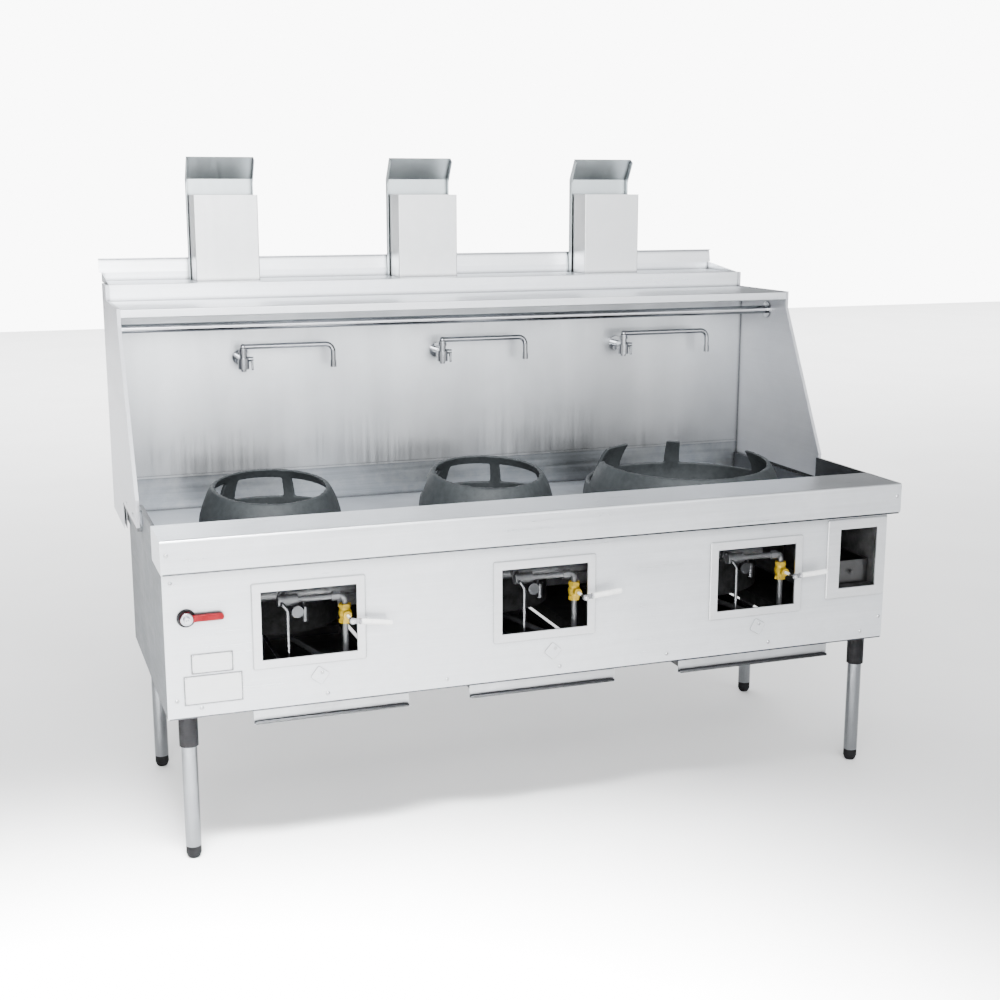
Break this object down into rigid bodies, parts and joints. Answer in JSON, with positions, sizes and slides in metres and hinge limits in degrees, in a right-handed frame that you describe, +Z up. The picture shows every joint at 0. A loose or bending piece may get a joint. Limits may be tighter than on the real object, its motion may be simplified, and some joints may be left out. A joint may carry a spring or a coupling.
{
  "type": "wok range",
  "caption": "Free-standing gas wok range with sunken deck, splashback, rear flues, wall faucets and drip trays on pipe legs.",
  "frame": {"origin": "on the floor, under the middle of the overall box", "axes": "+X to the cook's right, +Y to the rear wall, +Z up"},
  "size_m": [2.166, 1.2604, 1.8341],
  "materials": {
    "stainless": "brushed stainless sheet, satin",
    "galvanised": "plain formed steel, dull",
    "iron": "blackened cast iron",
    "dark_paint": "dark painted steel",
    "chrome": "polished chrome",
    "brass": "yellow brass",
    "steel_tube": "bright drawn steel tube",
    "white_grip": "white moulded grip",
    "red_lever": "red dipped lever on a chrome hub",
    "label": "bare aluminium plate"
  },
  "bodies": {
    "range": {"base_frame": "galvanised", "leg_sockets": "dark_paint", "legs": "steel_tube", "front_panel": "stainless", "panel_frames": "stainless", "left_side_panel": "stainless", "right_side_panel": "stainless", "rear_panel": "galvanised", "front_rail": "stainless", "cook_deck": "stainless", "lower_splash": "stainless", "backsplash": "stainless", "left_splash_guard": "stainless", "right_splash_guard": "stainless", "canopy_ledge": "stainless", "flue_duct": "galvanised", "shelf_tray": "stainless", "flue_risers": "stainless", "flue_deflectors": "stainless", "ladle_rail": "steel_tube", "combustion_chambers": "galvanised", "burners": "iron", "flue_links": "galvanised", "gas_manifold": "dark_paint", "gas_branches": "galvanised", "gas_valves": "brass", "burner_feeds": "galvanised", "pilot_valves": "chrome", "pilot_tubes": "steel_tube", "panel_screws": "chrome", "label_plates": "label", "main_valve_body": "brass", "water_pipes": "chrome", "faucet_bodies": "chrome", "drain_box": "galvanised", "tray_runners": "galvanised"},
    "foot_front_left": {"foot_front_left": "dark_paint"},
    "foot_front_right": {"foot_front_right": "dark_paint"},
    "foot_rear_left": {"foot_rear_left": "dark_paint"},
    "foot_rear_right": {"foot_rear_right": "dark_paint"},
    "wok_ring_1": {"wok_ring_1": "iron"},
    "gas_lever_1": {"gas_lever_1": "white_grip"},
    "port_cover_1": {"port_cover_1": "stainless"},
    "swing_spout_1": {"swing_spout_1": "chrome"},
    "faucet_handle_1": {"faucet_handle_1": "chrome"},
    "drip_tray_1": {"drip_tray_1": "stainless"},
    "wok_ring_2": {"wok_ring_2": "iron"},
    "gas_lever_2": {"gas_lever_2": "white_grip"},
    "port_cover_2": {"port_cover_2": "stainless"},
    "swing_spout_2": {"swing_spout_2": "chrome"},
    "faucet_handle_2": {"faucet_handle_2": "chrome"},
    "drip_tray_2": {"drip_tray_2": "stainless"},
    "wok_ring_3": {"wok_ring_3": "iron"},
    "gas_lever_3": {"gas_lever_3": "white_grip"},
    "port_cover_3": {"port_cover_3": "stainless"},
    "swing_spout_3": {"swing_spout_3": "chrome"},
    "faucet_handle_3": {"faucet_handle_3": "chrome"},
    "drip_tray_3": {"drip_tray_3": "stainless"},
    "main_valve_lever": {"main_valve_lever": "red_lever"},
    "drain_tray": {"drain_tray": "stainless"}
  },
  "joints": [
    {"name": "foot_front_left_turn", "type": "hinge", "parent": "range", "child": "foot_front_left", "pos_m": [-1.01, -0.52575, 0.034], "axis": [0, 0, 1], "continuous": true},
    {"name": "foot_front_right_turn", "type": "hinge", "parent": "range", "child": "foot_front_right", "pos_m": [1.01, -0.52575, 0.034], "axis": [0, 0, 1], "continuous": true},
    {"name": "foot_rear_left_turn", "type": "hinge", "parent": "range", "child": "foot_rear_left", "pos_m": [-1.01, 0.14425, 0.034], "axis": [0, 0, 1], "continuous": true},
    {"name": "foot_rear_right_turn", "type": "hinge", "parent": "range", "child": "foot_rear_right", "pos_m": [1.01, 0.14425, 0.034], "axis": [0, 0, 1], "continuous": true},
    {"name": "wok_ring_1_lift", "type": "slide", "parent": "range", "child": "wok_ring_1", "axis": [0, 0, 1], "range_m": [0, 0.15]},
    {"name": "gas_lever_1_turn", "type": "hinge", "parent": "range", "child": "gas_lever_1", "pos_m": [-0.586, -0.60975, 0.631], "axis": [0, 1, 0], "range_deg": [-15, 75]},
    {"name": "wok_ring_2_lift", "type": "slide", "parent": "range", "child": "wok_ring_2", "axis": [0, 0, 1], "range_m": [0, 0.15]},
    {"name": "gas_lever_2_turn", "type": "hinge", "parent": "range", "child": "gas_lever_2", "pos_m": [0.074, -0.60975, 0.631], "axis": [0, 1, 0], "range_deg": [-1, 89]},
    {"name": "wok_ring_3_lift", "type": "slide", "parent": "range", "child": "wok_ring_3", "axis": [0, 0, 1], "range_m": [0, 0.15]},
    {"name": "gas_lever_3_turn", "type": "hinge", "parent": "range", "child": "gas_lever_3", "pos_m": [0.734, -0.60975, 0.631], "axis": [0, 1, 0], "range_deg": [-3, 87]},
    {"name": "port_cover_1_swing", "type": "hinge", "parent": "range", "child": "port_cover_1", "pos_m": [-0.662, -0.57505, 0.489], "axis": [0, 1, 0], "range_deg": [-60, 60]},
    {"name": "port_cover_2_swing", "type": "hinge", "parent": "range", "child": "port_cover_2", "pos_m": [-0.001, -0.57505, 0.483], "axis": [0, 1, 0], "range_deg": [-60, 60]},
    {"name": "port_cover_3_swing", "type": "hinge", "parent": "range", "child": "port_cover_3", "pos_m": [0.642, -0.57505, 0.489], "axis": [0, 1, 0], "range_deg": [-60, 60]},
    {"name": "main_valve_turn", "type": "hinge", "parent": "range", "child": "main_valve_lever", "pos_m": [-1.009, -0.58375, 0.671], "axis": [0, 1, 0], "range_deg": [0, 90]},
    {"name": "swing_spout_1_turn", "type": "hinge", "parent": "range", "child": "swing_spout_1", "pos_m": [-0.689, 0.29625, 1.249], "axis": [0, 0, 1], "range_deg": [-180, 0]},
    {"name": "faucet_handle_1_turn", "type": "hinge", "parent": "range", "child": "faucet_handle_1", "pos_m": [-0.6677, 0.29625, 1.222], "axis": [-1, 0, 0], "range_deg": [0, 90]},
    {"name": "swing_spout_2_turn", "type": "hinge", "parent": "range", "child": "swing_spout_2", "pos_m": [-0.048, 0.29625, 1.249], "axis": [0, 0, 1], "range_deg": [-180, 0]},
    {"name": "faucet_handle_2_turn", "type": "hinge", "parent": "range", "child": "faucet_handle_2", "pos_m": [-0.0267, 0.29625, 1.222], "axis": [-1, 0, 0], "range_deg": [0, 90]},
    {"name": "swing_spout_3_turn", "type": "hinge", "parent": "range", "child": "swing_spout_3", "pos_m": [0.59, 0.29625, 1.249], "axis": [0, 0, 1], "range_deg": [-180, 0]},
    {"name": "faucet_handle_3_turn", "type": "hinge", "parent": "range", "child": "faucet_handle_3", "pos_m": [0.6113, 0.29625, 1.222], "axis": [-1, 0, 0], "range_deg": [0, 90]},
    {"name": "drip_tray_1_pull", "type": "slide", "parent": "range", "child": "drip_tray_1", "axis": [0, -1, 0], "range_m": [0, 0.45]},
    {"name": "drip_tray_2_pull", "type": "slide", "parent": "range", "child": "drip_tray_2", "axis": [0, -1, 0], "range_m": [0, 0.45]},
    {"name": "drip_tray_3_pull", "type": "slide", "parent": "range", "child": "drip_tray_3", "axis": [0, -1, 0], "range_m": [0, 0.45]},
    {"name": "drain_tray_pull", "type": "slide", "parent": "range", "child": "drain_tray", "axis": [0, -1, 0], "range_m": [0, 0.25]}
  ]
}
